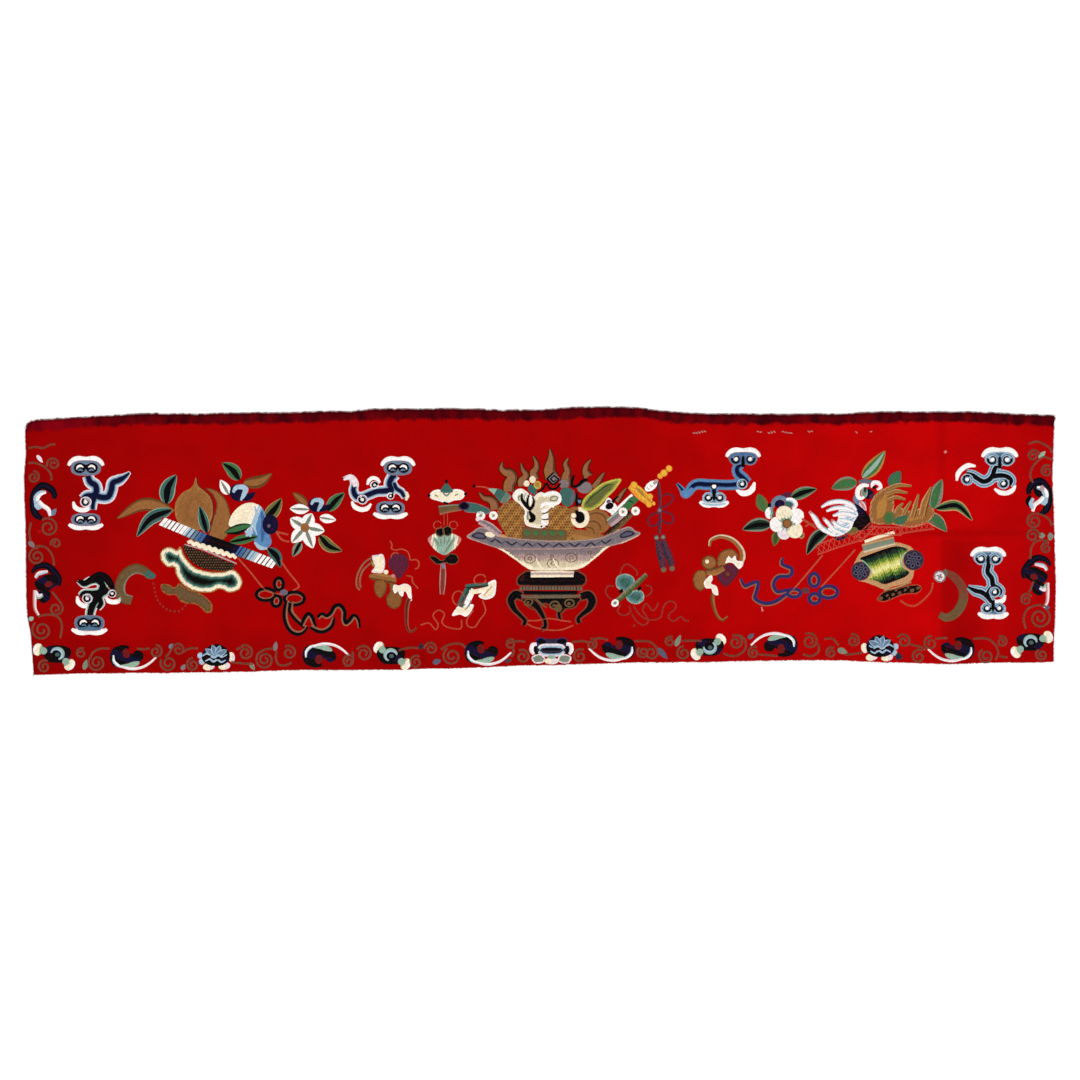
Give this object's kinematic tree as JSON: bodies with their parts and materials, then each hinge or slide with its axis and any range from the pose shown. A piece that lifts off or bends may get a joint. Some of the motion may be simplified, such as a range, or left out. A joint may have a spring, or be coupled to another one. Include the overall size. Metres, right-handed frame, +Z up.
{
  "type": "embroidered wool panel",
  "caption": "Long flat wool broadcloth panel with a woven dark edge and raised silk and metal-thread embroidery, laid face up.",
  "frame": {"origin": "on the underside, under the middle of the panel", "axes": "+X along the length, +Y across it towards the woven list, +Z up out of the embroidered face"},
  "size_m": [2.062, 0.534, 0.0023],
  "materials": {
    "wool": "felted broadcloth",
    "silk": "floss silk in satin stitch",
    "metal_thread": "tarnished gilt thread, couched"
  },
  "bodies": {
    "root": {"wool_panel": "wool"}
  },
  "joints": []
}
